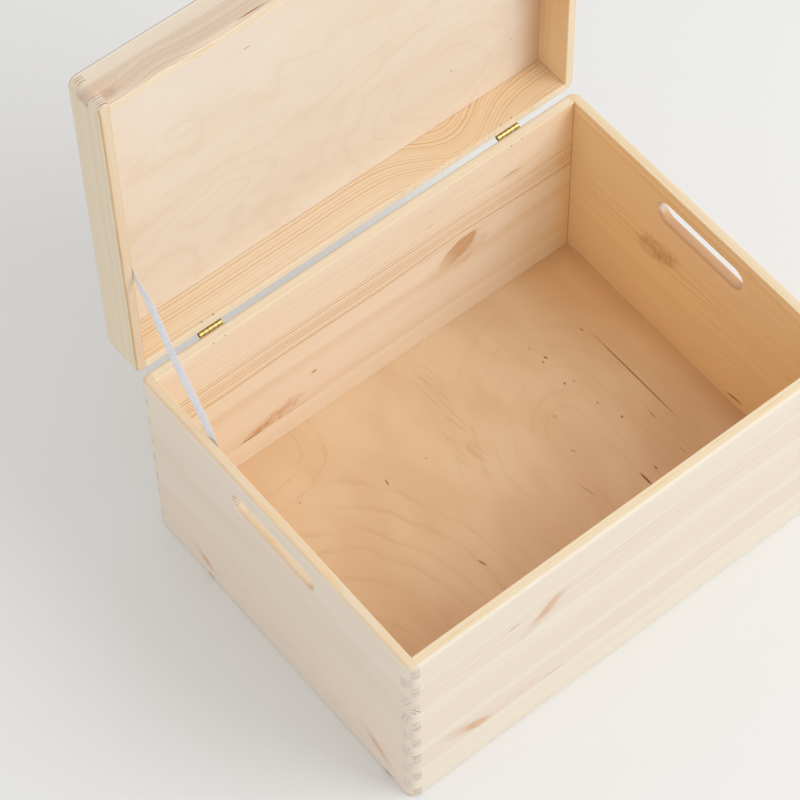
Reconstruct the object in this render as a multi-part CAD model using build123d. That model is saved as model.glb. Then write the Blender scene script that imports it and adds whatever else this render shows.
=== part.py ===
"""Hinged keepsake box of finger-jointed pine boards, drawn with its lid open.

Millimetres, +Z up, +X to the right end and -Y to the front. Everything is drawn
about the middle of the box's own footprint, and moved at the end: the origin is
on the table, in the middle of the ground that the box and its open lid cover.
"""
from build123d import *
import os
from math import atan2, cos, degrees, hypot, radians, sin

# ---------------------------------------------------------------- outer sizes
box_length = 400.0          # along X
box_width = 300.0           # along Y
box_height = 190.0          # base to rim, without the lid
lid_rail_height = 30.5      # rim of the lid to the underside of its sheet
lid_open_angle = 90.0       # how far the ribbon lets the lid swing back

# -------------------------------------------------------------------- boards
board = 9.0                 # thickness of walls and rails
corner_radius = 8.0         # upright corners
base_round = 2.0            # lower outer edge of the box
lid_top_round = 2.4         # upper outer edge of the lid
rim_round = 3.0             # outer edges of both rims
rim_ease = 0.6              # inner edges of both rims

# ------------------------------------------------------------- finger joints
finger_pitch = 12.5         # height of a whole finger
lid_first_finger = 11.5     # the finger next to the lid's rim

# -------------------------------------------------------------------- sheets
lid_sheet = 3.0             # plywood glued on top of the rails
base_sheet = 4.0            # plywood held in grooves
base_sheet_lift = 8.0       # underside of the base sheet above the table
groove_depth = 5.0
sheet_gap = 0.5             # free space at the bottom of the groove
groove_play = 0.05          # above and below the sheet

# -------------------------------------------------------------- hand slots
slot_length = 90.0
slot_height = 20.0
slot_below_rim = 28.5       # centre of the slot below the rim
slot_round = 3.0

# -------------------------------------------------------------------- hinges
hinge_spacing = 272.0       # between the middles of the two hinges
axis_behind = 1.5           # pin axis behind the back wall's outer face, level with the rims
hinge_length = 20.0
knuckle_diameter = 4.3
knuckle_count = 5
knuckle_gap = 0.12          # between neighbouring knuckles
pin_diameter = 2.0
pin_play = 0.03             # radial
pin_overhang = 0.3          # past each end of the barrel
leaf_reach = 11.5           # pin axis to the far edge of a leaf
leaf_thickness = 0.9
leaf_slant = 45.0           # leaves lie at this angle to the rims when shut
barrel_play = 0.325         # between a barrel and the chamfers behind it
kerf_play = 0.05            # beside the leaf in its saw cut
kerf_extra = 0.5            # depth left past the leaf
sweep_play = 0.35           # between a leaf and the other leaf's knuckles

# --------------------------------------------------------------------- brads
brad_diameter = 1.2
brad_length = 9.0
brad_spacing = 10.0
brad_below_rim = 2.0        # where a brad enters the inner face
brad_sunk = 0.6             # head below the wood
brad_play = 0.03            # radial
brad_tip_play = 0.2         # free hole past the point

# --------------------------------------------------------------- ribbon stay
ribbon_width = 6.0
ribbon_thickness = 0.4
ribbon_tail = 6.0           # past each staple
ribbon_box_reach = 85.3     # pin axis forward to the staple on the box
ribbon_box_drop = 19.0      # rim down to that staple
ribbon_lid_reach = 135.3    # pin axis to the staple on the lid, along the rail
ribbon_lid_rise = 11.7      # lid rim to that staple
staple_width = 9.4
staple_leg = 7.0            # depth in the wood
staple_wire = 1.2           # across the wire
staple_wire_thin = 0.6      # through the wire
staple_play = 0.04

# ------------------------------------------------------------ derived values
half_x = box_length / 2
half_y = box_width / 2
inner_x = box_length - 2 * board
inner_y = box_width - 2 * board
lid_height = lid_rail_height + lid_sheet
knuckle_radius = knuckle_diameter / 2
pin_radius = pin_diameter / 2
knuckle_pitch = hinge_length / knuckle_count
hinge_places = {"left": -hinge_spacing / 2, "right": hinge_spacing / 2}
axis_y = half_y + axis_behind
hinge_axis = Pos(0, axis_y, box_height)
open_lid = hinge_axis * Rot(X=-lid_open_angle) * hinge_axis.inverse()
to_origin = Pos(0, -(axis_behind + lid_height) / 2, 0)


# ------------------------------------------------------------------- boards
def finger_bands(height, first):
    """Heights of the fingers of a corner, from the bottom up."""
    steps = [0.0, first]
    while steps[-1] + finger_pitch < height - finger_pitch / 2:
        steps.append(steps[-1] + finger_pitch)
    steps.append(height)
    return list(zip(steps[:-1], steps[1:]))


def corner_blocks(bands, base):
    """Blocks that fill the four corners over the given bands."""
    blocks = []
    for low, high in bands:
        for x in (-1, 1):
            for y in (-1, 1):
                place = Pos(x * (half_x - board / 2), y * (half_y - board / 2), base + (low + high) / 2)
                blocks.append(place * Box(board, board, high - low))
    return blocks


def outline(base, height, low_round, high_round):
    """Block with the outer form of the box or of the lid."""
    block = extrude(Plane.XY.offset(base) * RectangleRounded(box_length, box_width, corner_radius), height)
    block = fillet(block.faces().sort_by(Axis.Z)[0].edges(), low_round)
    return fillet(block.faces().sort_by(Axis.Z)[-1].edges(), high_round)


def rim_mouth(rim, inward):
    """Tapered block that eases the inner edges of a rim; inward is +1 or -1 along Z."""
    wide = Rectangle(inner_x + 2 * rim_ease, inner_y + 2 * rim_ease)
    start = Plane.XY.offset(rim)
    return extrude(start * wide, rim_ease * inward, taper=45)


def frame_of_boards(base, height, first, form, cuts):
    """Four boards with interlocking fingers: the ends run through at the bottom and the top."""
    bands = finger_bands(height, first)
    end_fingers = corner_blocks(bands[0::2], base)
    long_fingers = corner_blocks(bands[1::2], base)
    middle = base + height / 2
    long_board = Box(box_length, board, height)
    end_board = Box(board, box_width, height)
    front = Pos(0, -half_y + board / 2, middle) * long_board - end_fingers
    back = Pos(0, half_y - board / 2, middle) * long_board - end_fingers
    left = Pos(-half_x + board / 2, 0, middle) * end_board - long_fingers
    right = Pos(half_x - board / 2, 0, middle) * end_board - long_fingers
    boards = {"front": front, "back": back, "left": left, "right": right}
    return {side: (piece & form) - cuts for side, piece in boards.items()}


def rear_groove():
    """Square bar on the hinge line: it chamfers the rear edges of both rims around the barrels."""
    side = 2 * (knuckle_radius + barrel_play)
    return hinge_axis * Rot(X=45) * Box(box_length + 2 * board, side, side)


def hand_slot(side):
    """Cut for one hand slot, through the wall on the side given by its sign."""
    face = Plane(origin=(side * half_x, 0, box_height - slot_below_rim), x_dir=(0, 1, 0), z_dir=(side, 0, 0))
    return extrude(face * SlotOverall(slot_length, slot_height), board, both=True)


def with_slot(wall, side):
    """Wall with its hand slot, both mouths rounded over."""
    cut = wall - hand_slot(side)
    faces_x = (side * half_x, side * (half_x - board))
    reach = slot_length / 2 + 1
    mouths = [
        edge
        for edge in cut.edges()
        if abs(edge.center().Y) < reach
        and abs(edge.center().Z - box_height + slot_below_rim) < slot_height / 2 + 1
        and min(abs(edge.center().X - x) for x in faces_x) < 0.01
    ]
    return fillet(mouths, slot_round)


# ------------------------------------------------------------------- sheets
def base_board():
    reach = groove_depth - sheet_gap
    place = Pos(0, 0, base_sheet_lift + base_sheet / 2)
    return place * Box(inner_x + 2 * reach, inner_y + 2 * reach, base_sheet)


def base_groove():
    place = Pos(0, 0, base_sheet_lift + base_sheet / 2)
    thickness = base_sheet + 2 * groove_play
    return place * Box(inner_x + 2 * groove_depth, inner_y + 2 * groove_depth, thickness)


# ------------------------------------------------------------------- hinges
def leaf_frame(x, lid):
    """Frame on the pin axis whose -Y runs down the leaf of the box or of the lid."""
    return Pos(x, axis_y, box_height) * Rot(X=-leaf_slant if lid else leaf_slant)


def barrel(first, radius):
    """Every second knuckle, from the given one on, as plain cylinders."""
    knuckles = []
    for index in range(first, knuckle_count, 2):
        x = (index + 0.5) * knuckle_pitch - hinge_length / 2
        knuckles.append(Pos(x, 0, 0) * Rot(Y=90) * Cylinder(radius, knuckle_pitch - knuckle_gap))
    return knuckles


def leaf(lid):
    """Plate with its rolled knuckles, in its own frame: the box leaf has the outer ones."""
    near = knuckle_radius + sweep_play
    plate = Pos(0, -(near + leaf_reach) / 2, 0) * Box(hinge_length, leaf_reach - near, leaf_thickness)
    body = plate
    for knuckle in barrel(1 if lid else 0, knuckle_radius):
        x = knuckle.center().X
        neck = Pos(x, -near / 2, 0) * Box(knuckle_pitch - knuckle_gap, near, leaf_thickness)
        body += [knuckle, neck]
    bore = Rot(Y=90) * Cylinder(pin_radius + pin_play, hinge_length + 1)
    return body - bore - brad_holes(lid)


def pin():
    return Rot(Y=90) * Cylinder(pin_radius, hinge_length + 2 * pin_overhang)


def kerf():
    """Saw cut for a leaf, in the leaf's frame."""
    depth = leaf_reach + kerf_extra
    return Pos(0, -depth / 2, 0) * Box(hinge_length + 2 * kerf_play, depth, leaf_thickness + 2 * kerf_play)


def wires(lid, radius, start, end):
    """Two wires square to the leaf, in its frame; start and end count from the inner face."""
    slant = radians(leaf_slant)
    reach = board + axis_behind
    along = reach * cos(slant) + brad_below_rim * sin(slant)
    entry = reach * sin(slant) - brad_below_rim * cos(slant)
    side = -1 if lid else 1
    height = side * (entry - (start + end) / 2)
    return [
        Pos(x, -along, height) * Cylinder(radius, end - start)
        for x in (-brad_spacing / 2, brad_spacing / 2)
    ]


def brads(lid):
    return wires(lid, brad_diameter / 2, brad_sunk, brad_sunk + brad_length)


def brad_holes(lid):
    bottom = brad_sunk + brad_length + brad_tip_play
    return wires(lid, brad_diameter / 2 + brad_play, -brad_diameter, bottom)


def hinge_cuts(lid):
    """Kerfs and brad holes of both hinges in the box or in the shut lid."""
    cuts = []
    for x in hinge_places.values():
        place = leaf_frame(x, lid)
        cuts.append(place * kerf())
        cuts += [place * hole for hole in brad_holes(lid)]
    return cuts


# -------------------------------------------------------------- ribbon stay
def ribbon_points():
    """Both staples in the plane of the left wall's inner face, as (y, z) with the lid open."""
    box_point = (axis_y - ribbon_box_reach, box_height - ribbon_box_drop)
    shut = Pos(0, axis_y - ribbon_lid_reach, box_height + ribbon_lid_rise)
    lid_point = (open_lid * shut).position
    return box_point, (lid_point.Y, lid_point.Z)


def ribbon_frame(point):
    """Frame on the inner face at a staple: +Z runs up the ribbon and +X into the box."""
    (box_y, box_z), (lid_y, lid_z) = ribbon_points()
    lean = degrees(atan2(lid_y - box_y, lid_z - box_z))
    return Pos(-half_x + board, point[0], point[1]) * Rot(X=-lean)


def ribbon():
    (box_y, box_z), (lid_y, lid_z) = ribbon_points()
    length = hypot(lid_y - box_y, lid_z - box_z) + 2 * ribbon_tail
    strip = Pos(ribbon_thickness / 2, 0, length / 2 - ribbon_tail) * Box(ribbon_thickness, ribbon_width, length)
    return ribbon_frame((box_y, box_z)) * strip


def staple_legs(play):
    """The two legs, from the wood's face inward; play widens them into their holes."""
    centre = staple_width / 2 - staple_wire_thin / 2
    depth = staple_leg + play
    return [
        Pos(-depth / 2, y, 0) * Box(depth, staple_wire_thin + 2 * play, staple_wire + 2 * play)
        for y in (-centre, centre)
    ]


def staple():
    thick = ribbon_thickness + staple_wire_thin
    crown = Pos(ribbon_thickness + staple_wire_thin / 2, 0, 0) * Box(staple_wire_thin, staple_width, staple_wire)
    centre = staple_width / 2 - staple_wire_thin / 2
    sides = [Pos(thick / 2, y, 0) * Box(thick, staple_wire_thin, staple_wire) for y in (-centre, centre)]
    return crown + sides + staple_legs(0)


# ----------------------------------------------------------------- assembly
def box_parts():
    form = outline(0, box_height, base_round, rim_round)
    cuts = [base_groove(), rear_groove(), rim_mouth(box_height, -1)]
    walls = frame_of_boards(0, box_height, finger_pitch, form, cuts)
    box_point, _ = ribbon_points()
    staple_holes = [ribbon_frame(box_point) * leg for leg in staple_legs(staple_play)]
    parts = {
        "front_wall": walls["front"],
        "back_wall": walls["back"] - hinge_cuts(lid=False),
        "left_wall": with_slot(walls["left"], -1) - staple_holes,
        "right_wall": with_slot(walls["right"], 1),
        "base_sheet": base_board(),
        "box_ribbon_staple": ribbon_frame(box_point) * staple(),
        "ribbon_stay": ribbon(),
    }
    all_brads = []
    for side, x in hinge_places.items():
        place = leaf_frame(x, lid=False)
        parts[f"{side}_hinge_box_leaf"] = place * leaf(lid=False)
        parts[f"{side}_hinge_pin"] = Pos(x, axis_y, box_height) * pin()
        all_brads += [place * brad for brad in brads(lid=False)]
    parts["box_hinge_brads"] = Compound(children=all_brads)
    return parts


def lid_parts():
    """Pieces of the lid, made shut on the box and then swung open."""
    form = outline(box_height, lid_height, rim_round, lid_top_round)
    cuts = [rear_groove(), rim_mouth(box_height, 1)]
    rails = frame_of_boards(box_height, lid_rail_height, lid_first_finger, form, cuts)
    sheet_place = Pos(0, 0, box_height + lid_rail_height + lid_sheet / 2)
    shut = {
        "lid_front_rail": rails["front"],
        "lid_back_rail": rails["back"] - hinge_cuts(lid=True),
        "lid_left_rail": rails["left"],
        "lid_right_rail": rails["right"],
        "lid_sheet": sheet_place * Box(box_length, box_width, lid_sheet) & form,
    }
    all_brads = []
    for side, x in hinge_places.items():
        place = leaf_frame(x, lid=True)
        shut[f"{side}_hinge_lid_leaf"] = place * leaf(lid=True)
        all_brads += [place * brad for brad in brads(lid=True)]
    shut["lid_hinge_brads"] = Compound(children=all_brads)
    parts = {name: open_lid * piece for name, piece in shut.items()}
    _, lid_point = ribbon_points()
    frame = ribbon_frame(lid_point)
    parts["lid_left_rail"] -= [frame * leg for leg in staple_legs(staple_play)]
    parts["lid_ribbon_staple"] = frame * staple()
    return parts


if __name__ == "__main__":
    os.makedirs("parts", exist_ok=True)
    for node, piece in {**box_parts(), **lid_parts()}.items():
        piece = to_origin * piece
        piece.label = node
        export_step(piece, f"parts/{node}.step")
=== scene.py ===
"""Hinged storage box of finger-jointed pine: finishes, ribbon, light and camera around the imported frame."""
import math

import bmesh
import bpy
from mathutils import Matrix, Vector


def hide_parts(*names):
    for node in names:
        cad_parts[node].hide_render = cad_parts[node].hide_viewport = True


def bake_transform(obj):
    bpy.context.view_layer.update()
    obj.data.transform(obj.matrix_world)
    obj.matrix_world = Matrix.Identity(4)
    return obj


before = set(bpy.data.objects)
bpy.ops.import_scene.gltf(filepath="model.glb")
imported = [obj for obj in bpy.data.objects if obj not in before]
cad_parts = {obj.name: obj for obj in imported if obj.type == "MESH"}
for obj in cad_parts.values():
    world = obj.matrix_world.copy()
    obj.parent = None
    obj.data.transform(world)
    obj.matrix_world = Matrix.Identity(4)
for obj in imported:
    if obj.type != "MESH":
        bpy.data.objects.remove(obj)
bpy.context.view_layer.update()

# ---------------------------------------------------------------- camera
CAMERA_AZIMUTH = math.radians(-37.69)
CAMERA_ELEVATION = math.radians(57.376)
CAMERA_ROLL = math.radians(-1.427)
CAMERA_DISTANCE = 2.385184
CAMERA_TARGET = Vector((-0.035193, 0.0484, 0.1))
CAMERA_FOCAL = 3294.121 / 800  # focal length over the picture's width
CAMERA_SENSOR = 36
CAMERA_NEAR, CAMERA_FAR = 0.1, 50

# -------------------------------------------------------- light and floor
SKY_STRENGTH = 0.80
KEY_PLACE, KEY_AIM = (1.5, -1.95, 2.1), (0, 0, 0.1)
KEY_SIZE = 2.4
KEY_POWER = 41

FLOOR_COLOUR = (0.82, 0.82, 0.81, 1)
FLOOR_ROUGHNESS = 0.9
FLOOR_SHINE = 0.2
FLOOR_REACH = 6  # half its width in metres

# --------------------------------------------- the object, in millimetres
BOX_MIDDLE = -17.5  # middle of the box's footprint along Y
AXIS_HEIGHT = 190.0  # hinge line, level with the box's rim
LID_RIM = 134.0  # rim of the open lid along Y, on the hinge line
INNER_X, INNER_Y = 191, 141  # inner faces of the walls
BASE_TOP = 12
LID_DEPTH = 30.5  # rim of the lid to the underside of its sheet


# ------------------------------------------------------------------ nodes
class Field:
    """A number at every point of a surface: sums and products of fields make Math nodes."""

    def __init__(self, tree, socket):
        self.tree, self.socket = tree, socket

    def __add__(self, other):
        return sums(self.tree, "ADD", self, other)

    def __sub__(self, other):
        return sums(self.tree, "SUBTRACT", self, other)

    def __mul__(self, other):
        return sums(self.tree, "MULTIPLY", self, other)

    def __truediv__(self, other):
        return sums(self.tree, "DIVIDE", self, other)

    def __rsub__(self, other):
        return sums(self.tree, "SUBTRACT", other, self)

    __radd__, __rmul__ = __add__, __mul__

    def __abs__(self):
        return sums(self.tree, "ABSOLUTE", self)

    def squared(self):
        return self * self


def put(tree, value, socket):
    """Sets or links one input."""
    if isinstance(value, Field):
        tree.links.new(value.socket, socket)
    else:
        socket.default_value = value


def sums(tree, operation, *values):
    node = tree.nodes.new("ShaderNodeMath")
    node.operation = operation
    for value, socket in zip(values, node.inputs):
        put(tree, value, socket)
    return Field(tree, node.outputs[0])


def most(a, b):
    return sums(a.tree, "MAXIMUM", a, b)


def root(a):
    return sums(a.tree, "SQRT", a)


def part_over(a):
    return sums(a.tree, "FRACT", a)


def whole(a):
    return sums(a.tree, "FLOOR", a)


def ramp(value, low, high, start=0.0, end=1.0):
    """Smooth step from start to end as the value goes from low to high."""
    node = value.tree.nodes.new("ShaderNodeMapRange")
    node.interpolation_type = "SMOOTHSTEP"
    for socket, number in zip(node.inputs, (value, low, high, start, end)):
        put(value.tree, number, socket)
    return Field(value.tree, node.outputs[0])


def vector(x, y, z):
    node = x.tree.nodes.new("ShaderNodeCombineXYZ")
    for value, socket in zip((x, y, z), node.inputs):
        put(x.tree, value, socket)
    return Field(x.tree, node.outputs[0])


def noise(place, detail=2.0, roughness=0.5):
    """Soft random field about 0.5, with features about one unit of the place across."""
    node = place.tree.nodes.new("ShaderNodeTexNoise")
    put(place.tree, place, node.inputs["Vector"])
    node.inputs["Scale"].default_value = 1.0
    node.inputs["Detail"].default_value = detail
    node.inputs["Roughness"].default_value = roughness
    return Field(place.tree, node.outputs["Fac"])


def curve(value, stops, low, high):
    """Curve through the given (place, level) stops over low to high."""
    node = value.tree.nodes.new("ShaderNodeValToRGB")
    elements = node.color_ramp.elements
    node.color_ramp.interpolation = "EASE"
    while len(elements) < len(stops):
        elements.new(0.5)
    for element, (place, level) in zip(elements, stops):
        element.position = (place - low) / (high - low)
        element.color = (level, level, level, 1)
    put(value.tree, (value - low) / (high - low), node.inputs["Fac"])
    return Field(value.tree, node.outputs["Color"])


def over_board(place, stops):
    """Curve from its first stop to its last."""
    return curve(place, stops, stops[0][0], stops[-1][0])


def mix(share, a, b, blend="MIX"):
    """Colour a turning to colour b by the share."""
    tree = next(value.tree for value in (share, a, b) if isinstance(value, Field))
    node = tree.nodes.new("ShaderNodeMix")
    node.data_type = "RGBA"
    node.blend_type = blend
    put(tree, share, node.inputs["Factor"])
    colours = [socket for socket in node.inputs if socket.type == "RGBA"]
    for value, socket in zip((a, b), colours):
        if isinstance(value, Field):
            put(tree, value, socket)
        else:
            socket.default_value = (*value, 1)
    return Field(tree, [socket for socket in node.outputs if socket.type == "RGBA"][0])


class Material:
    """A material with its shader, and the place and direction of a point.

    Places are in millimetres about the middle of the box's footprint. On the lid they are
    those of the shut lid, with z counted from its rim, so the front is -Y there too.
    """

    def __init__(self, name, roughness, lid=False):
        self.data = bpy.data.materials.new(name)
        self.data.use_nodes = True
        self.tree = self.data.node_tree
        self.shader = self.tree.nodes["Principled BSDF"]
        self.shader.inputs["Roughness"].default_value = roughness
        coordinates = self.tree.nodes.new("ShaderNodeTexCoord")
        x, y, z = self.parts(coordinates.outputs["Object"], 1000)
        nx, ny, nz = self.parts(coordinates.outputs["Normal"], 1)
        if lid:
            y, z = (AXIS_HEIGHT + LID_RIM - BOX_MIDDLE) - z, y - LID_RIM
            ny, nz = nz * -1, ny
        else:
            y = y - BOX_MIDDLE
        self.place = {"x": x, "y": y, "z": z}
        self.face = {"x": nx, "y": ny, "z": nz}

    def parts(self, socket, factor):
        node = self.tree.nodes.new("ShaderNodeSeparateXYZ")
        self.tree.links.new(socket, node.inputs[0])
        return [Field(self.tree, output) * factor for output in node.outputs]

    def relief(self, height, distance):
        """Fine surface relief: a height of 1 stands for the distance in metres."""
        node = self.tree.nodes.new("ShaderNodeBump")
        node.inputs["Distance"].default_value = distance
        node.inputs["Strength"].default_value = 1.0
        put(self.tree, height, node.inputs["Height"])
        self.tree.links.new(node.outputs["Normal"], self.shader.inputs["Normal"])

    def colour(self, value):
        put(self.tree, value, self.shader.inputs["Base Color"])

    def give(self, *names):
        for name in names:
            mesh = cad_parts[name].data
            mesh.materials.clear()
            mesh.materials.append(self.data)


# ------------------------------------------------------------------- pine
PINE_ROUGHNESS = 0.6
PINE_RELIEF = 0.00012  # metres
BEND_REACH = 2.2  # how far around a knot the rings bend, in knot sizes
BEND_SHARE = 0.68  # how far they bend for a push of 1
# outer faces, then inner faces with painted sunlight, and inner faces with painted shade and painted warm
# light bounced off the wood around them
PALE = {
    "early": (0.87, 0.77, 0.635),
    "late": (0.66, 0.50, 0.35),
    "pink": (0.85, 0.705, 0.585),
    "knot": (0.79, 0.50, 0.32),
    "dark": (0.45, 0.21, 0.12),
}
SUNLIT_INNER = {
    "early": (0.99, 0.905, 0.76),
    "late": (0.78, 0.53, 0.26),
    "pink": (0.95, 0.81, 0.655),
    "knot": (0.70, 0.38, 0.16),
    "dark": (0.38, 0.16, 0.06),
}
SHADED_INNER = {
    "early": (0.95, 0.725, 0.42),
    "late": (0.73, 0.45, 0.19),
    "pink": (0.92, 0.68, 0.41),
    "knot": (0.56, 0.28, 0.10),
    "dark": (0.27, 0.11, 0.04),
}
END_GRAIN = (0.77, 0.69, 0.58)
END_RING = (0.33, 0.23, 0.15)
LID_END = (0.81, 0.66, 0.53)
LID_END_RING = (0.36, 0.19, 0.11)
SAWN_STREAK = (0.84, 0.56, 0.25)
RIM_LINE = (0.60, 0.37, 0.17)
# painted highlight and painted shade for the eased inner edge of the rim
LIT_EDGE = (0.95, 0.87, 0.74)
SHADED_EDGE = (0.80, 0.67, 0.49)
SHADOW_LINE = (0.45, 0.22, 0.08)
# painted warm shade, laid on inner faces by each board's blush curve
WARM_SHADE_TINT = (0.93, 0.74, 0.56)
SLOT_SHADE = (0.72, 0.61, 0.60)


class Stave:
    """One strip of an edge-glued board, up to its top: the place of its log's heart and the ring width."""

    def __init__(self, top, heart, depth, ring, seam=0.25):
        self.top, self.heart, self.depth, self.ring, self.seam = top, heart, depth, ring, seam


class Knot:
    """A branch through a board: place along and across the grain, half sizes, lean in degrees.

    low and high are the glue lines that cut it, body is its strength, and push is how far it bends the
    rings around it.
    """

    def __init__(self, along, across, long, short, lean, low, high, body, push=1.0):
        self.along, self.across, self.long, self.short = along, across, long, short
        self.lean, self.low, self.high = math.radians(lean), low, high
        self.body, self.push = body, push


class Fan:
    """Fine slanted cracks beside a knot: an oval cut by glue lines, and the cracks' own slant."""

    def __init__(self, along, across, long, short, lean, low, high, strength, slant):
        self.along, self.across, self.long, self.short = along, across, long, short
        self.lean, self.low, self.high = math.radians(lean), low, high
        self.strength, self.slant = strength, math.radians(slant)


class Mark:
    """A short dark dash, split, fleck or resin streak: middle, half length along the grain, half width."""

    def __init__(self, along, across, long, short, strength, lean=0.0):
        self.along, self.across, self.long, self.short = along, across, long, short
        self.strength, self.lean = strength, math.radians(lean)


def per_stave(across, staves, attribute):
    """Value of an attribute of the stave that a point lies in."""
    field = getattr(staves[0], attribute)
    for lower, upper in zip(staves, staves[1:]):
        step = sums(across.tree, "GREATER_THAN", across, lower.top)
        field = field + step * (getattr(upper, attribute) - getattr(lower, attribute))
    return field


def oval(feature, along, across):
    """Distance from the middle of a knot or mark: 1 on its outline."""
    cos, sin = math.cos(feature.lean), math.sin(feature.lean)
    u, v = along - feature.along, across - feature.across
    long, short = (u * cos + v * sin) / feature.long, (v * cos - u * sin) / feature.short
    return root(long.squared() + short.squared())


def bend_around(knots, along, across):
    """Place across the grain with the rings bent around the knots."""
    bent = across
    for knot in knots:
        u = (along - knot.along) / (knot.long * BEND_REACH)
        v = (across - knot.across) / (knot.short * BEND_REACH)
        swell = sums(across.tree, "EXPONENT", (u.squared() + v.squared()) * -1)
        bent = bent - (across - knot.across) * swell * (BEND_SHARE * knot.push)
    return bent


def add_knot(colour, knot, along, across, tints, crisp):
    """Colour with one knot drawn in, its edge as soft or crisp as the board's."""
    cos, sin = math.cos(knot.lean), math.sin(knot.lean)
    u = (along - knot.along) * cos + (across - knot.across) * sin
    v = (across - knot.across) * cos - (along - knot.along) * sin
    shape = oval(knot, along, across)
    rough = noise(vector(u / 7, v / 2.0, 0), 3.0, 0.65)
    streaks = noise(vector(u / 14, v / 1.5, 4), 3.0, 0.6)
    inside = ramp(across, knot.low, knot.low + 0.3) * ramp(across, knot.high - 0.3, knot.high, 1.0, 0.0)
    edge = shape + (rough - 0.5) * 0.55
    tip = ramp(u / knot.long, -1.0, 0.1, 0.3, 1.0)
    body = ramp(edge, crisp, 1.06, 1.0, 0.0) * tip * inside
    halo = ramp(edge, 0.8, 2.2, 1.0, 0.0) * inside
    wood = mix(ramp(streaks, 0.46, 0.58) * 0.5, tints["knot"], tints["dark"])
    outline = ramp(abs(edge - 0.98), 0.0, 0.12, 1.0, 0.0) * tip * inside
    outline = outline * ramp(abs(v) / knot.short, 0.1, 0.6)
    colour = mix(halo * (0.22 * knot.body), colour, tints["late"])
    colour = mix(body * knot.body * 0.85, colour, wood)
    colour = mix(outline * (0.35 * knot.body * crisp), colour, tints["dark"])
    return colour


def add_fan(colour, fan, along, across, tints):
    """Colour with the fine slanted cracks that open beside a knot."""
    cos, sin = math.cos(fan.slant), math.sin(fan.slant)
    u = (along - fan.along) * cos + (across - fan.across) * sin
    v = (across - fan.across) * cos - (along - fan.along) * sin
    grain = noise(vector(u / 12, v / 0.95, 0), 2.0, 0.6)
    near = ramp(oval(fan, along, across) - (grain - 0.5) * 2.0, 0.3, 1.0, 1.0, 0.0) * fan.strength
    near = near * ramp(across, fan.low, fan.low + 0.3) * ramp(across, fan.high - 0.3, fan.high, 1.0, 0.0)
    colour = mix(near * (ramp(grain, 0.46, 0.54) * 0.75 + 0.2), colour, tints["knot"])
    return mix(near * ramp(grain, 0.56, 0.64) * 0.25, colour, tints["dark"])


class Board:
    """How one board is cut and how it looks.

    axes name the grain's direction, then across, then through the board. inside is the sign of the
    through axis on the face that looks into the box or the lid. show and pinkness are curves across the
    board: how strongly the late wood shows, and how pink the early wood is. warmth is a curve along it:
    how far the painted light on the inner face turns from sunlit to shaded, and blush how much painted
    warm shade makes it redder and darker. edge is the tint of the sawn rim, glaze is painted shade that
    dims the inner face, and wash dims the outer one. eased is the strength of a painted highlight on the
    eased inner edge, in the colour eased_tint, which gives painted shade there when that colour is dark.
    A higher thin makes the late wood a narrower line, and a higher crisp makes the knots' edges sharper.
    A lower end_scale spaces the rings on the end grain wider. swells raise the rings at a place along the
    board, and rim_lines are long dark lines on the rim. Below rim_from, cut surfaces look like the inner
    face, with its painted light and shade, and take painted shade in the slot as well.
    """

    def __init__(self, axes, staves, inside, show, pinkness, edge, seed):
        self.axes, self.staves, self.inside, self.show, self.pinkness = axes, staves, inside, show, pinkness
        self.edge, self.seed = edge, seed
        self.warmth, self.blush = [(-200, 1.0), (200, 1.0)], [(-200, 0.0), (200, 0.0)]
        self.glaze, self.wash = (1.0, 1.0, 1.0), (1.0, 1.0, 1.0)
        self.thin, self.crisp = 0.3, 0.9
        self.end_tints, self.end_scale = (END_GRAIN, END_RING), 1.0
        self.knots, self.fans, self.marks, self.streaks = (), (), (), ()
        self.swells, self.rim_lines = (), ()
        self.wander, self.end_rings, self.rim_rings = 9.0, 0.4, 0.25
        self.eased, self.eased_tint = 0.0, LIT_EDGE
        self.rim_from, self.lid = -999, False


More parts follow.
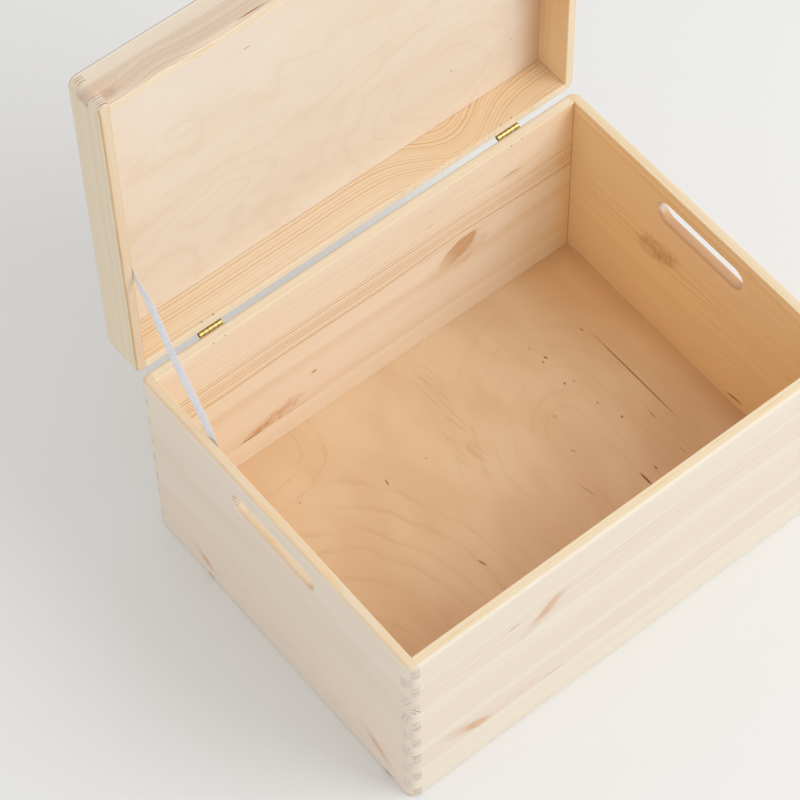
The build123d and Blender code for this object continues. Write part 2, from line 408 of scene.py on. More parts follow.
class Grain:
    """The fields of one board that its face, rim and ends share."""

    def __init__(self, m, board):
        self.along, self.across, self.through = (m.place[axis] for axis in board.axes)
        self.n_along, self.n_across, self.n_through = (m.face[axis] for axis in board.axes)
        self.fibre = noise(vector(self.along / 30, self.across / 0.8, self.through / 0.8), 3.0, 0.6) - 0.5
        self.contrast = over_board(self.across, board.show)
        # below the rim, up-facing cut surfaces (the slot's floor) take the inner face's painted light and
        # shade
        below_rim = ramp(self.across, board.rim_from, board.rim_from + 1, 1.0, 0.0)
        self.in_slot = below_rim * ramp(self.n_across, 0.1, 0.5)
        self.inner = most(ramp(self.n_through * board.inside, 0.3, 0.8), self.in_slot)
        # painted light and shade on the inner faces: their tints turn from sunlit to shaded along the board
        warmth = over_board(self.along, board.warmth)
        self.tints = {}
        for key in PALE:
            self.tints[key] = mix(self.inner, PALE[key], mix(warmth, SUNLIT_INNER[key], SHADED_INNER[key]))
        self.grow(m, board)

    def grow(self, m, board):
        """Rings around each stave's heart: their count, and how much of each is late wood."""
        heart = per_stave(self.across, board.staves, "heart")
        depth = per_stave(self.across, board.staves, "depth")
        ring = per_stave(self.across, board.staves, "ring")
        seed = board.seed
        bent = bend_around(board.knots, self.along, self.across)
        self.drift = noise(vector(self.along / 300, bent / 110, heart + seed), 2.0) - 0.5
        ripple = noise(vector(self.along / 55, bent / 20, heart + seed), 1.0) - 0.5
        run = bent + self.drift * board.wander + ripple * 1.3
        for place, half, rise in board.swells:
            run = run - sums(m.tree, "EXPONENT", ((self.along - place) / half).squared() * -1) * rise
        turns = root((run - heart).squared() + (self.through - depth).squared()) / ring
        self.turns = turns + (noise(vector(turns * 0.5, seed, seed), 1.0) - 0.5) * 1.5
        phase = part_over(self.turns)
        level = noise(vector(whole(self.turns) * 0.37, seed, seed), 0.0)
        self.depth_of_ring = ramp(level, 0.3, 0.65, 0.35, 1.3)
        self.late = ramp(phase, board.thin, 0.9) * ramp(phase, 0.93, 1.0, 1.0, 0.0) * self.depth_of_ring


def sanded_face(g, board):
    """Early and late wood, resin ducts and fibres."""
    tone = over_board(g.across, board.pinkness)
    cloud = noise(vector(g.along / 160, g.across / 18, g.through / 30 + board.seed), 2.0, 0.55)
    ducts = ramp(noise(vector(g.along / 4.5, g.across / 0.42, g.through / 0.42), 1.0), 0.72, 0.84)
    strands = noise(vector(g.along / 90, g.across / 2.4, g.through / 2.4 + board.seed), 2.0)
    colour = mix(tone + (cloud - 0.5) * 0.9, g.tints["early"], g.tints["pink"])
    colour = mix(g.late * g.contrast, colour, g.tints["late"])
    colour = mix(ducts * 0.13, colour, g.tints["late"])
    colour = mix(abs(g.fibre) * 0.3, colour, g.tints["late"])
    return mix(ramp(strands, 0.5, 0.75) * 0.14, colour, g.tints["late"])


def add_features(colour, g, board):
    """Colour with the board's knots, cracks, marks and glue lines."""
    for fan in board.fans:
        colour = add_fan(colour, fan, g.along, g.across, g.tints)
    for knot in board.knots:
        if knot.body:
            colour = add_knot(colour, knot, g.along, g.across, g.tints, board.crisp)
    for mark in board.marks:
        shape = oval(mark, g.along, g.across) + g.fibre * 0.5
        colour = mix(ramp(shape, 0.35, 1.0, 1.0, 0.0) * mark.strength, colour, g.tints["dark"])
    for stave in board.staves[:-1]:
        seam = ramp(abs(g.across - stave.top), 0.0, 0.5, 1.0, 0.0)
        colour = mix(seam * stave.seam, colour, g.tints["late"])
    return colour


def add_cut_faces(colour, g, board):
    """Colour with the sawn rim, a painted highlight on its eased inner edge (painted shade where its tint is
    dark) and the end grain.
    """
    side_on = ramp(abs(g.n_along), 0.6, 0.92, 1.0, 0.0)
    sawn = ramp(abs(g.n_through), 0.15, 0.65, 1.0, 0.0) * side_on
    sawn = sawn * ramp(g.across, board.rim_from, board.rim_from + 1)
    edge = mix(g.late * board.rim_rings, board.edge, SAWN_STREAK)
    for streak in board.streaks:
        shape = oval(streak, g.along, g.through) + g.fibre * 0.3
        edge = mix(ramp(shape, 0.2, 1.0, 1.0, 0.0) * streak.strength, edge, SAWN_STREAK)
    colour = mix(sawn * 0.9, colour, edge)
    on_rim = ramp(abs(g.n_across), 0.15, 0.4)
    for place, half, strength in board.rim_lines:
        near = ramp(abs(g.through - place + g.drift * 1.5), half * 0.3, half, 1.0, 0.0)
        colour = mix(near * on_rim * ramp(g.fibre, -0.2, 0.2, 0.5, 1.0) * strength, colour, RIM_LINE)
    # painted highlight on the eased inner edge; with a dark eased_tint, painted shade there instead
    tilt = g.n_through * board.inside
    eased = ramp(tilt, 0.35, 0.6) * ramp(tilt, 0.8, 0.95, 1.0, 0.0) * side_on
    colour = mix(eased * board.eased, colour, board.eased_tint)
    end_phase = part_over(g.turns * board.end_scale)
    end_line = ramp(end_phase, 0.55, 0.88) * ramp(end_phase, 0.92, 1.0, 1.0, 0.0)
    ends = mix(end_line * g.depth_of_ring * board.end_rings, *board.end_tints)
    return mix((side_on * -1 + 1) * 0.85, colour, ends)


def pine(name, board):
    """Sanded pine, cut from the log as its end grain shows."""
    m = Material(name, PINE_ROUGHNESS, board.lid)
    g = Grain(m, board)
    colour = add_features(sanded_face(g, board), g, board)
    # painted warm shade on the inner face, set by the blush curve along the board
    colour = mix(g.inner * over_board(g.along, board.blush), colour, WARM_SHADE_TINT, "MULTIPLY")
    # painted shade dims the inner face by the board's glaze; wash dims the outer face
    colour = mix(1.0, colour, mix(g.inner, board.wash, board.glaze), "MULTIPLY")
    # painted shade on the cut surface at the bottom of the slot
    colour = mix(g.in_slot, colour, SLOT_SHADE, "MULTIPLY")
    colour = add_cut_faces(colour, g, board)
    m.colour(colour)
    m.relief(g.fibre * 0.4 - g.late * g.contrast * 0.4, PINE_RELIEF)
    return m, g.inner, colour


def inner_corner(m, inner, colour, *lines):
    """Thin dark lines where the inner face meets its neighbours."""
    for axis, place in lines:
        near = ramp(abs(m.place[axis] - place), 0.1, 0.8, 1.0, 0.0)
        colour = mix(near * inner * 0.5, colour, SHADOW_LINE)
    m.colour(colour)


def front_wall():
    staves = [Stave(39, 24, -200, 3.4, 0.35), Stave(154, 95, -235, 4.0, 0.4), Stave(190, 170, -215, 3.1)]
    show = [(0, 0.05), (38, 0.08), (60, 0.1), (80, 0.16), (118, 0.07), (135, 0.12), (154, 0.14), (190, 0.12)]
    pinkness = [(0, -0.1), (38, -0.1), (42, 0.8), (60, 0.9), (66, 0.1), (78, 0.1), (84, 0.9), (104, 0.8)]
    pinkness += [(110, 0.2), (120, 0.2), (128, 0.8), (153, 0.9), (156, 0.1), (166, 1.0), (180, 0.6)]
    pinkness += [(190, 0.0)]
    board = Board("xzy", staves, 1, show, pinkness, (0.85, 0.705, 0.485), 3.0)
    board.knots = [Knot(-80, 141, 19, 5, 38, 42, 153.5, 1.2), Knot(-143, 47, 16, 5, -24, 39.5, 150, 1.4, 0.8)]
    board.knots += [Knot(182, 150, 7, 3.5, 20, 42, 153.5, 0.8)]
    board.fans = [Fan(-158, 54, 18, 8, -30, 39.5, 150, 0.35, -10)]
    board.fans += [Fan(-76, 138, 14, 7, 38, 42, 153.5, 0.45, 62)]
    board.fans += [Fan(-105, 44, 30, 5, 4, 39.5, 150, 0.4, 5)]
    board.marks = [Mark(-109, 148.5, 9, 0.8, 0.85), Mark(-74, 41, 17, 0.8, 0.7), Mark(20, 154, 60, 0.4, 0.25)]
    board.marks += [Mark(-140, 135, 12, 0.5, 0.3), Mark(-172, 157, 10, 0.5, 0.3)]
    board.streaks = [Mark(-150, -145.5, 40, 0.8, 0.8), Mark(25, -144.5, 24, 0.9, 0.8)]
    board.streaks += [Mark(80, -143.5, 16, 0.9, 0.8), Mark(125, -145, 22, 1.0, 0.7)]
    board.end_rings, board.eased, board.crisp = 0.3, 0.5, 0.45
    board.wash = (0.955, 0.98, 0.99)
    return pine("front_wall", board)[0]


def back_wall():
    staves = [Stave(38, 20, 190, 4.2, 0.4), Stave(114, 64, 240, 5.2, 0.5), Stave(190, 180, 169, 3.2)]
    show = [(0, 0.05), (37, 0.08), (40, 0.22), (60, 0.15), (86, 0.28), (113, 0.12), (115, 1.0), (136, 0.85)]
    show += [(150, 0.4), (158, 0.14), (175, 0.12), (190, 0.10)]
    pinkness = [(0, -0.2), (38, -0.2), (42, 0.3), (80, 0.3), (112, 0.0), (118, 0.0), (150, 0.1), (165, 0.5)]
    pinkness += [(182, 0.4), (190, 0.1)]
    board = Board("xzy", staves, -1, show, pinkness, (0.88, 0.765, 0.585), 7.0)
    board.warmth = [(-200, 0.0), (120, 0.0), (165, 0.25), (200, 1.0)]
    board.blush = [(-200, 0.0), (172, 0.0), (188, 0.3), (200, 0.65)]
    board.knots = [Knot(81, 102, 21, 9, 32, 38, 113.7, 0.85, 0.9)]
    board.knots += [Knot(-57, 70, 2.6, 1.5, 0, 0, 190, 1.0, 0.8)]
    board.knots += [Knot(-112, 40, 16, 6, 24, 38.3, 114, 0.0, 1.2)]
    board.knots += [Knot(132, 155, 14, 6, 0, 114, 190, 0.0, 1.6)]
    board.fans = [Fan(-113, 41, 18, 6, 10, 38.3, 114, 1.0, 44), Fan(-92, 46, 28, 9, 12, 38.3, 114, 0.9, 46)]
    board.fans += [Fan(92, 92, 24, 12, 24, 38.3, 113.7, 0.45, 20)]
    board.marks = [Mark(132, 154, 13, 2.2, 0.35), Mark(-116, 38.9, 16, 0.9, 0.85)]
    board.marks += [Mark(-78, 38.8, 28, 0.6, 0.5)]
    board.marks += [Mark(55, 155, 6, 1.0, 0.25), Mark(55, 173, 14, 0.7, 0.2), Mark(92, 96, 15, 0.7, 0.5, 32)]
    board.streaks = [Mark(120, 146, 60, 0.8, 0.4), Mark(-150, 147.5, 60, 0.8, 0.3)]
    board.eased, board.eased_tint = 0.8, SHADED_EDGE
    m, inner, colour = pine("back_wall", board)
    inner_corner(m, inner, colour, ("z", BASE_TOP), ("x", INNER_X))
    return m


def left_wall():
    staves = [Stave(66, 122, -206, 1.7, 0.2), Stave(132, 122, -206, 1.7, 0.2), Stave(190, 215, -195, 1.25)]
    show = [(0, 0.08), (60, 0.14), (98, 0.18), (104, 0.34), (130, 0.30), (136, 0.22), (150, 0.14), (190, 0.1)]
    pinkness = [(0, 0.6), (40, 0.7), (66, 0.8), (72, 0.4), (120, 0.45), (148, 0.5), (152, 0.1), (190, 0.0)]
    board = Board("yzx", staves, 1, show, pinkness, (0.81, 0.655, 0.46), 11.0)
    board.knots = [Knot(89, 18.5, 10, 3.4, 210, 0, 190, 1.1, 0.8)]
    board.knots += [Knot(-111, 27, 16, 4.2, 214, 5, 190, 0.8, 0.8)]
    board.fans = [Fan(-112, 26, 16, 6, 34, 5, 190, 0.5, 80), Fan(93, 22, 10, 4, 30, 5, 190, 0.4, 20)]
    board.marks = [Mark(84, 2.5, 6, 2.2, 0.8), Mark(-123, 2.0, 8, 2.4, 0.7)]
    board.streaks = [Mark(8, -195.5, 26, 1.6, 0.6), Mark(-62, -195, 24, 1.6, 0.6)]
    board.streaks += [Mark(-120, -195, 12, 0.8, 0.5)]
    board.rim_lines = [(-198.2, 1.0, 0.45), (-196.9, 0.7, 0.4)]
    board.end_rings, board.eased, board.crisp = 1.7, 0.3, 0.5
    board.end_scale = 0.55
    return pine("left_wall", board)[0]


def right_wall():
    staves = [Stave(129, 88, 175, 3.4, 0.3), Stave(190, 172, 245, 1.9)]
    show = [(0, 0.15), (40, 0.12), (70, 0.30), (82, 0.22), (95, 0.30), (118, 0.35), (129, 0.15), (165, 0.12)]
    show += [(172, 0.3), (190, 0.35)]
    pinkness = [(0, 0.5), (60, 0.0), (128, 0.0), (130, 0.8), (165, 0.7), (172, 0.2), (190, 0.0)]
    board = Board("yzx", staves, -1, show, pinkness, (0.82, 0.69, 0.485), 19.0)
    board.blush = [(-150, 0.3), (60, 0.3), (150, 0.15)]
    board.knots = [Knot(40, 110, 26, 11, -28, 12, 128.7, 0.25, 1.1), Knot(-42, 56, 12, 8, 0, 12, 129, 0.0)]
    board.fans = [Fan(53, 112, 16, 8, -30, 12, 125, 0.6, -25), Fan(35, 110, 17, 10, -25, 12, 125, 0.8, 80)]
    board.marks = [Mark(-22, 85.5, 9, 0.9, 0.2), Mark(-52, 21, 12, 1.6, 0.95, -8)]
    board.marks += [Mark(-52, 184, 10, 0.8, 0.5)]
    board.marks += [Mark(-16, 174.5, 14, 0.8, 0.45), Mark(120, 13.5, 20, 0.9, 0.4)]
    board.marks += [Mark(0, 154, 44, 0.7, 0.35)]
    board.streaks = [Mark(40, 195, 90, 0.5, 0.4), Mark(-60, 193.5, 60, 0.5, 0.4)]
    board.rim_lines = [(191.8, 0.7, 0.5)]
    board.rim_rings, board.rim_from = 0.5, 182
    m, inner, colour = pine("right_wall", board)
    inner_corner(m, inner, colour, ("z", BASE_TOP), ("y", INNER_Y))
    return m


def lid_board(axes, stave, inside, show, pinkness, edge, seed):
    board = Board(axes, [stave], inside, show, pinkness, edge, seed)
    board.lid, board.end_tints, board.wander = True, (LID_END, LID_END_RING), 6.0
    return board


def lid_front_rail():
    show = [(0, 1.6), (18, 1.3), (23, 0.08), (LID_DEPTH, 0.05)]
    pinkness = [(0, 1.3), (18, 1.2), (23, 0.1), (LID_DEPTH, 0.0)]
    board = lid_board("xzy", Stave(LID_DEPTH, 75, -172, 1.35), 1, show, pinkness, (0.87, 0.745, 0.56), 23.0)
    board.marks = [Mark(-78, 2.4, 15, 0.8, 1.0), Mark(-186, 7, 7, 5, 0.25)]
    board.fans = [Fan(-190, 10, 18, 10, 0, -9, 22, 0.5, 20)]
    board.streaks = [Mark(-120, -145, 18, 1.4, 0.6), Mark(-60, -145, 40, 0.8, 0.4)]
    board.swells = [(-150, 20, 4.5), (-40, 30, 3.0), (90, 40, 4.0)]
    board.wander, board.end_rings, board.wash = 5.0, 1.6, (0.94, 0.91, 0.87)
    return pine("lid_front_rail", board)[0]


def lid_back_rail():
    show = [(0, 0.3), (5, 0.5), (24, 0.7), (LID_DEPTH, 0.7)]
    pinkness = [(0, 0.0), (LID_DEPTH, 0.1)]
    board = lid_board("xzy", Stave(LID_DEPTH, 120, 165, 3.0), -1, show, pinkness, (0.88, 0.78, 0.60), 29.0)
    board.warmth = [(-200, 0.65), (-60, 0.5), (110, 0.7), (200, 0.75)]
    board.blush = [(-200, 0.0), (0, 0.1), (110, 0.3), (200, 0.3)]
    board.glaze, board.thin = (0.91, 0.90, 0.92), 0.55
    board.swells = [(97, 38, -28)]
    m, inner, colour = pine("lid_back_rail", board)
    inner_corner(m, inner, colour, ("z", LID_DEPTH), ("x", INNER_X))
    return m


def lid_left_rail():
    show = [(0, 0.45), (LID_DEPTH, 0.45)]
    pinkness = [(0, -0.1), (LID_DEPTH, 0.0)]
    board = lid_board("yzx", Stave(LID_DEPTH, -40, -206, 1.8), 1, show, pinkness, (0.79, 0.635, 0.465), 31.0)
    board.streaks = [Mark(-10, -193.5, 55, 0.8, 0.5), Mark(100, -195, 40, 0.8, 0.4)]
    board.rim_lines = [(-198.3, 1.0, 1.0), (-191.5, 0.8, 0.3)]
    board.end_rings, board.wash = 1.4, (1.0, 0.97, 0.88)
    return pine("lid_left_rail", board)[0]


def lid_right_rail():
    show = [(0, 0.2), (8, 0.3), (20, 0.25), (LID_DEPTH, 0.25)]
    pinkness = [(0, 0.2), (LID_DEPTH, 0.3)]
    board = lid_board("yzx", Stave(LID_DEPTH, 10, 170, 3.0), -1, show, pinkness, (0.84, 0.715, 0.52), 37.0)
    board.blush = [(-150, 1.0), (20, 1.0), (75, 0.35), (115, 0.0)]
    board.glaze = (0.95, 0.93, 0.93)
    return pine("lid_right_rail", board)[0]


# ---------------------------------------------------------------- plywood
# early wood, warmer wood and ring lines
VENEER = {
    "base": ((0.86, 0.645, 0.425), (0.81, 0.575, 0.36), (0.60, 0.34, 0.15)),
    "lid": ((0.86, 0.76, 0.63), (0.85, 0.725, 0.585), (0.66, 0.46, 0.30)),
}
VENEER_ROUGHNESS = 0.5
VENEER_RELIEF = 0.0001  # metres
PALE_VENEER = (0.86, 0.81, 0.74)
RAIL_SHADE = (0.86, 0.66, 0.54)
PLY_CORE = (0.42, 0.27, 0.17)
FLECK = (0.28, 0.10, 0.03)
RIPPLE = (0.60, 0.38, 0.13)
# painted warm shade at the base sheet's right end, and painted shadow of the front wall
SHADED_VENEER = (0.84, 0.45, 0.14)
FRONT_WALL_SHADOW = (0.83, 0.73, 0.69)


def contour(height, places, fade=4.5):
    """Soft one-sided lines where the height passes the given places, as a peeled veneer shows its rings."""
    stops = []
    for place in places:
        stops += [(place - 1.1, 0.0), (place, 1.0), (place + fade, 0.0)]
    return curve(height, stops, 0, places[-1] + 2 * fade)


def hill(x, y, at_x, at_y, wide, deep):
    """Rounded hill of height 1 in the ring surface that a peeled veneer cuts."""
    return sums(x.tree, "EXPONENT", (((x - at_x) / wide).squared() + ((y - at_y) / deep).squared()) * -1)


def add_flecks(colour, flecks, along, across, fibre):
    for fleck in flecks:
        shape = oval(fleck, along, across) + fibre * 0.3
        colour = mix(ramp(shape, 0.45, 1.0, 1.0, 0.0) * fleck.strength, colour, FLECK)
    return colour


def base_rings(x, y, wave, fine):
    """Rings that the peel laid bare: arcs at the left and nested arches at the right."""
    behind = most(y + 60, 0)
    arcs = root((x + 150).squared() + (behind / 1.42).squared()) + wave * 14 + fine * 2
    rise = hill(x + wave * 18, y + fine * 6, -120, 136, 46, 38)
    left = contour(arcs, (30, 55, 75, 88, 106, 122)) * ramp(arcs, 118, 140, 1.0, 0.0)
    left = left * ramp(rise, 0.04, 0.14, 1.0, 0.0)
    left = left + contour(rise * 100, (22, 52), 6.0) * ramp(rise, 0.08, 0.2)
    over = most(y - 8, 0)
    arches = root((x - 80 - over * 0.22).squared() + (over * 0.82).squared()) + wave * 9 + fine * 2.5
    right = contour(arches, (17, 28, 45, 60, 74, 92), 3.0) * ramp(arches, 88, 112, 1.0, 0.0) * 0.55
    return left + right


def base_strokes(x, y, fine):
    """Fine strokes along the grain, in a slanted band between the arcs and the arches."""
    band = abs(x - 2 - (y - 10) * 0.24)
    strokes = noise(vector((x + y * 0.087 + fine * 3) / 1.7, y / 26, 0), 1.0)
    strokes = ramp(strokes, 0.5, 0.68) * ramp(band, 4, 17, 1.0, 0.0)
    return strokes * ramp(y, 5, 30) * ramp(y, 110, 135, 1.0, 0.0)


def base_flecks():
    flecks = [Mark(60, -54, 4, 0.9, 0.75, 12), Mark(-38, -43, 5, 0.9, 0.9, -14), Mark(58, -18, 1.6, 0.7, 0.5)]
    flecks += [Mark(56, 25, 1.6, 0.7, 0.4), Mark(25, 80, 2.4, 2.4, 0.25), Mark(87, -115, 1.6, 0.8, 0.5)]
    flecks += [Mark(84, 105, 1.8, 0.8, 0.6), Mark(68, 105, 1.8, 0.9, 0.8), Mark(70, 109, 2.6, 1.0, 0.9, -20)]
    flecks += [Mark(72, 147, 2.6, 0.8, 0.6, -10), Mark(43, 105, 2, 0.9, 0.8), Mark(40, 112, 1.6, 0.8, 0.6)]
    flecks += [Mark(14, 113, 2.2, 0.8, 0.7), Mark(-7, 119, 1.8, 0.9, 0.9), Mark(-7, 71, 3, 0.7, 0.6, -20)]
    flecks += [Mark(-40, 57, 9, 0.6, 0.6, -12), Mark(-60, 97, 9, 1.2, 0.95), Mark(-57, 109, 2.6, 1.0, 0.8)]
    flecks += [Mark(-20, 138, 6, 0.6, 0.6), Mark(-58, 135, 6, 0.5, 0.5), Mark(14, 151, 62, 0.8, 0.85)]
    return flecks


def base_sheet():
    """Peeled birch with its grain front to back, with painted shade along the walls, at the right end and
    towards the front.
    """
    m = Material("base_sheet", VENEER_ROUGHNESS)
    x, y = m.place["x"], m.place["y"]
    early, warm, line = VENEER["base"]
    wave = noise(vector(x / 38, y / 38, 0), 2.0) - 0.5
    fine = noise(vector(x / 9, y / 14, 0), 2.0) - 0.5
    fibre = noise(vector(x / 0.7, y / 16, 0), 3.0, 0.6) - 0.5
    rings = base_rings(x, y, wave, fine)
    cloud = noise(vector(x / 45, y / 90, 0), 2.0)
    colour = mix(ramp(cloud, 0.35, 0.65), early, warm)
    uneven = ramp(noise(vector(x / 30, y / 50, 9), 2.0), 0.3, 0.7, 0.05, 0.26)
    colour = mix(rings * uneven, colour, line)
    colour = mix(base_strokes(x, y, fine) * 0.36, colour, RIPPLE)
    # painted warm shade towards the right end, where the right wall shades the sheet; the fibres show more
    # there too
    shaded_end = ramp(x + y * 0.35, 140, 225)
    colour = mix(shaded_end * 0.45, colour, SHADED_VENEER)
    # painted shade in bands along the right and back walls
    wall_shade = most(ramp(x, 172, 191), ramp(y, 122, 141) * ramp(x, 120, 185))
    colour = mix(wall_shade * 0.36, colour, line)
    # painted shadow of the front wall over the front part of the sheet
    colour = mix(ramp(y, -130, 40, 0.8, 0.0), colour, FRONT_WALL_SHADOW, "MULTIPLY")
    colour = mix(abs(fibre) * (shaded_end * 0.35 + 0.22), colour, line)
    m.colour(add_flecks(colour, base_flecks(), y, x, fibre))
    m.relief(fibre * 0.4 - rings * 0.2, VENEER_RELIEF)
    return m


def lid_sheet():
    """Peeled birch with its grain along the lid; the three plies show on the sheet's edges."""
    m = Material("lid_sheet", VENEER_ROUGHNESS, lid=True)
    x, y, z = m.place["x"], m.place["y"], m.place["z"]
    early, warm, line = VENEER["lid"]
    wave = noise(vector(x / 42, y / 30, 5), 3.0) - 0.5
    fibre = noise(vector(x / 18, y / 0.7, 0), 3.0, 0.6) - 0.5
    height = hill(x, y, -100, 62, 42, 20) * 26 + hill(x, y, 100, 88, 75, 55) * 58
    height = height - hill(x, y, -115, 25, 12, 9) * 10
    height = height + hill(x, y, -150, 110, 40, 30) * 22 + y * 0.12 + wave * 22 + 40
    lines = contour(height, (12, 24, 36, 45, 55, 66, 80, 92), 2.6)
    cloud = noise(vector(x / 70, y / 24, 3), 2.0)
    colour = mix(ramp(cloud, 0.3, 0.7), early, warm)
    pale = ramp(x, -160, 20, 1.0, 0.0) * ramp(y, -130, 0, 1.0, 0.0)
    colour = mix(pale * 0.75, colour, PALE_VENEER)
    # painted shade on the sheet beside the right rail, on both faces of the sheet
    colour = mix(ramp(x, 158, 198), colour, RAIL_SHADE, "MULTIPLY")
    colour = mix(lines * 0.13, colour, line)
    colour = mix(abs(fibre) * 0.16, colour, line)
    flecks = [Mark(-65, -76, 4, 0.9, 0.5), Mark(108, 88, 1.8, 1.2, 0.4), Mark(164, 96, 1.6, 0.8, 0.4)]
    colour = add_flecks(colour, flecks, x, y, fibre)
    edge = ramp(abs(m.face["z"]), 0.25, 0.8, 1.0, 0.0)
    core = ramp(abs(z - 32), 0.35, 0.6, 1.0, 0.0)
    pores = noise(vector(x / 0.6, y / 0.6, z / 0.3), 2.0)
    colour = mix(edge * core * ramp(pores, 0.2, 0.7, 0.55, 0.95), colour, PLY_CORE)
    m.colour(colour)
    m.relief(fibre * 0.4 - lines * 0.2, VENEER_RELIEF)
    return m


# ------------------------------------------------------------------ metal
HINGE_PLACE = 136.0  # middle of each hinge to the box's middle
KNUCKLE_PITCH = 4.0
BRASS_ROUGHNESS = 0.3
BRASS = (0.80, 0.62, 0.25)
DULL_BRASS = (0.58, 0.41, 0.14)
KNUCKLE_GAP_SHADE = (0.16, 0.10, 0.04)
STEEL_ROUGHNESS = 0.45
STEEL = (0.40, 0.37, 0.33)
DULL_STEEL = (0.25, 0.22, 0.19)


def brass():
    """Rolled sheet brass: dull streaks round the barrel and painted shade in the gaps between the knuckles.
    """
    m = Material("brass", BRASS_ROUGHNESS)
    m.shader.inputs["Metallic"].default_value = 1.0
    x, y, z = (m.place[a] for a in "xyz")
    dull = noise(vector(x / 0.5, y / 4, z / 4), 3.0)
    gap = abs(part_over((abs(x) - HINGE_PLACE) / KNUCKLE_PITCH) - 0.5) * KNUCKLE_PITCH
    colour = mix(dull, BRASS, DULL_BRASS)
    m.colour(mix(ramp(gap, 0.1, 0.45, 0.75, 0.0), colour, KNUCKLE_GAP_SHADE))
    return m


def steel():
    """Drawn wire, duller in patches."""
    m = Material("steel", STEEL_ROUGHNESS)
    m.shader.inputs["Metallic"].default_value = 1.0
    dull = noise(vector(*(m.place[a] / 2 for a in "xyz")), 3.0)
    m.colour(mix(dull, STEEL, DULL_STEEL))
    return m


# ----------------------------------------------------------------- ribbon
RIBBON_FROM = Vector((-191.0, 145.7, 325.3))  # staple in the open lid
RIBBON_TO = Vector((-191.0, 48.7, 171.0))  # staple in the box
RIBBON_HALF_WIDTH = 3.0
RIBBON_HALF_THICKNESS = 0.2
RIBBON_TAIL = 6.0
# share of the ribbon's length with its twist in degrees, and with its height off the wall
RIBBON_TWIST = ((0, 0), (0.13, 2), (0.28, 34), (0.36, 37), (0.48, 33), (0.66, 43), (0.82, 36))
RIBBON_TWIST += ((0.93, 12), (1, 0))
RIBBON_LIFT = ((0, 0.22), (0.11, 0.25), (0.3, 1.5), (0.5, 0.8), (0.8, 1.7), (0.9, 1.3), (0.96, 0.35))
RIBBON_LIFT += ((1, 0.22),)
RIBBON_SECTION = ((-1, -0.5), (-1, 0.5), (-0.9, 1), (0.9, 1), (1, 0.5), (1, -0.5), (0.9, -1), (-0.9, -1))
RIBBON_STEPS = 96
RIBBON_RIB = 0.9  # pitch of the weave's ribs
RIBBON_RELIEF = 0.0001  # metres
RIBBON_ROUGHNESS = 0.5
RIBBON_SHEEN = 0.2
RIBBON_DIM = (0.79, 0.785, 0.83)
RIBBON_WHITE = (0.85, 0.845, 0.88)
RIBBON_GROOVE = (0.55, 0.54, 0.60)


def eased_stops(stops, share):
    """Level at a share of the length, eased from stop to stop."""
    share = min(max(share, 0.0), 1.0)
    for (low, start), (high, end) in zip(stops, stops[1:]):
        if share <= high:
            part = (share - low) / (high - low)
            return start + (end - start) * part * part * (3 - 2 * part)


def ribbon_ring(bm, s, length, run):
    """Corners of the ribbon's section, s millimetres past its staple in the lid."""
    wall = Vector((1, 0, 0))
    flat = wall.cross(run)
    turn = math.radians(eased_stops(RIBBON_TWIST, s / length))
    width = flat * math.cos(turn) - wall * math.sin(turn)
    thick = width.cross(run)
    middle = RIBBON_FROM + run * s + wall * eased_stops(RIBBON_LIFT, s / length)
    ring = []
    for across, lift in RIBBON_SECTION:
        point = middle + width * RIBBON_HALF_WIDTH * across + thick * RIBBON_HALF_THICKNESS * lift
        ring.append(bm.verts.new(point / 1000))
    return ring


def ribbon():
    """Flat woven ribbon that turns on edge between its two staples."""
    run = RIBBON_TO - RIBBON_FROM
    length = run.length
    run.normalize()
    bm = bmesh.new()
    rings = []
    for step in range(RIBBON_STEPS + 1):
        s = -RIBBON_TAIL + (length + 2 * RIBBON_TAIL) * step / RIBBON_STEPS
        rings.append(ribbon_ring(bm, s, length, run))
    for before, after in zip(rings, rings[1:]):
        for i in range(len(before)):
            j = (i + 1) % len(before)
            bm.faces.new((before[i], before[j], after[j], after[i])).smooth = True
    bm.faces.new(reversed(rings[0]))
    bm.faces.new(rings[-1])
    bmesh.ops.recalc_face_normals(bm, faces=bm.faces)
    mesh = bpy.data.meshes.new("ribbon")
    bm.to_mesh(mesh)
    bm.free()
    piece = bpy.data.objects.new("ribbon", mesh)
    bpy.context.scene.collection.objects.link(piece)
    mesh.materials.append(woven().data)
    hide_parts("ribbon_stay")
    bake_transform(piece)


def woven():
    """Fine lavender-white weave with ribs across the ribbon."""
    m = Material("ribbon", RIBBON_ROUGHNESS)
    run = (RIBBON_TO - RIBBON_FROM).normalized()
    along = m.place["y"] * run.y + m.place["z"] * run.z
    phase = abs(part_over(along / RIBBON_RIB) - 0.5) * 2
    tone = noise(vector(m.place["x"] / 4, m.place["y"] / 4, m.place["z"] / 4), 2.0)
    colour = mix(ramp(tone, 0.3, 0.7), RIBBON_DIM, RIBBON_WHITE)
    colour = mix(ramp(phase, 0.0, 0.4, 0.2, 0.0), colour, RIBBON_GROOVE)
    m.colour(colour)
    m.shader.inputs["Sheen Weight"].default_value = RIBBON_SHEEN
    m.relief(ramp(phase, 0.0, 0.8), RIBBON_RELIEF)
    return m


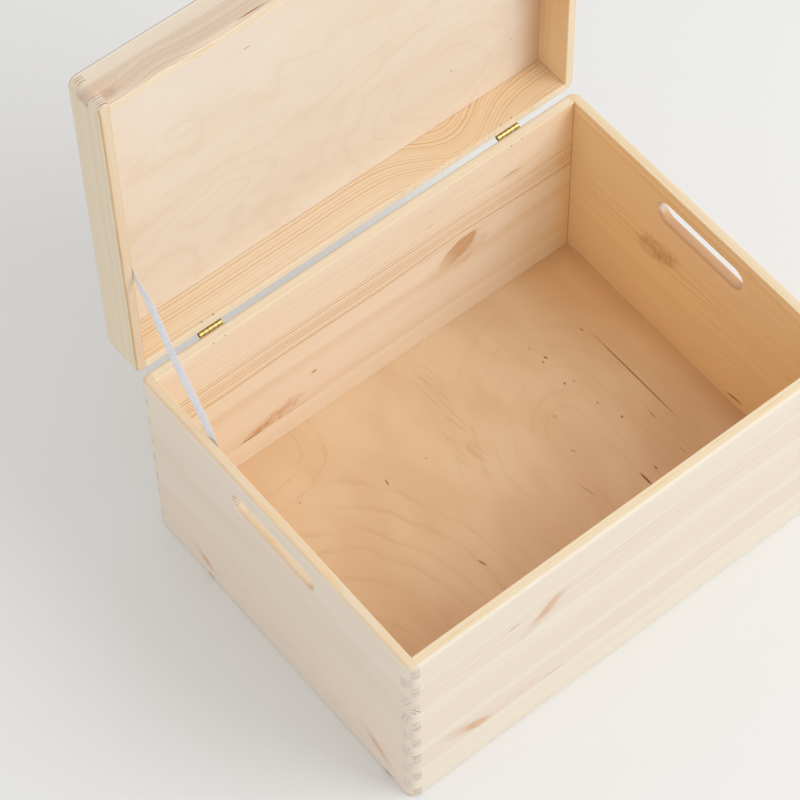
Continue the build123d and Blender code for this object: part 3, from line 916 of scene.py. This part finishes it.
# -------------------------------------------------------- stage and light
def make_floor():
    reach = FLOOR_REACH
    mesh = bpy.data.meshes.new("floor")
    corners = [(-reach, -reach, 0), (reach, -reach, 0), (reach, reach, 0), (-reach, reach, 0)]
    mesh.from_pydata(corners, [], [(0, 1, 2, 3)])
    floor = bpy.data.objects.new("floor", mesh)
    bpy.context.scene.collection.objects.link(floor)
    finish = bpy.data.materials.new("floor")
    finish.use_nodes = True
    shader = finish.node_tree.nodes["Principled BSDF"]
    shader.inputs["Base Color"].default_value = FLOOR_COLOUR
    shader.inputs["Roughness"].default_value = FLOOR_ROUGHNESS
    shader.inputs["Specular IOR Level"].default_value = FLOOR_SHINE
    mesh.materials.append(finish)


def make_key():
    data = bpy.data.lights.new("key", "AREA")
    data.shape = "DISK"
    data.size = KEY_SIZE
    data.energy = KEY_POWER
    lamp = bpy.data.objects.new("key", data)
    lamp.location = KEY_PLACE
    lamp.rotation_mode = "QUATERNION"
    lamp.rotation_quaternion = (Vector(KEY_AIM) - Vector(KEY_PLACE)).to_track_quat("-Z", "Y")
    bpy.context.scene.collection.objects.link(lamp)


def make_sky():
    world = bpy.data.worlds.new("world")
    world.use_nodes = True
    world.node_tree.nodes["Background"].inputs["Color"].default_value = (1, 1, 1, 1)
    world.node_tree.nodes["Background"].inputs["Strength"].default_value = SKY_STRENGTH
    bpy.context.scene.world = world


def make_camera():
    data = bpy.data.cameras.new("camera")
    data.sensor_width = CAMERA_SENSOR
    data.lens = CAMERA_FOCAL * data.sensor_width
    data.clip_start, data.clip_end = CAMERA_NEAR, CAMERA_FAR
    camera = bpy.data.objects.new("camera", data)
    bpy.context.scene.collection.objects.link(camera)
    flat = math.cos(CAMERA_ELEVATION)
    side, front = math.sin(CAMERA_AZIMUTH) * flat, -math.cos(CAMERA_AZIMUTH) * flat
    back = Vector((side, front, math.sin(CAMERA_ELEVATION)))
    right = Vector((0, 0, 1)).cross(back).normalized()
    up = back.cross(right)
    cos, sin = math.cos(CAMERA_ROLL), math.sin(CAMERA_ROLL)
    turned_right = cos * right + sin * up
    turned_up = cos * up - sin * right
    turn = Matrix((turned_right, turned_up, back)).transposed().to_4x4()
    camera.matrix_world = Matrix.Translation(CAMERA_TARGET + back * CAMERA_DISTANCE) @ turn
    bpy.context.scene.camera = camera


make_floor()
make_key()
make_sky()
make_camera()
bpy.context.scene.view_settings.view_transform = "Standard"

for wall in (front_wall, back_wall, left_wall, right_wall):
    wall().give(wall.__name__)
for rail in (lid_front_rail, lid_back_rail, lid_left_rail, lid_right_rail):
    rail().give(rail.__name__)
base_sheet().give("base_sheet")
lid_sheet().give("lid_sheet")
brass().give(*[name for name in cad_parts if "_hinge_" in name and "brads" not in name])
steel().give("box_hinge_brads", "lid_hinge_brads", "box_ribbon_staple", "lid_ribbon_staple")
ribbon()
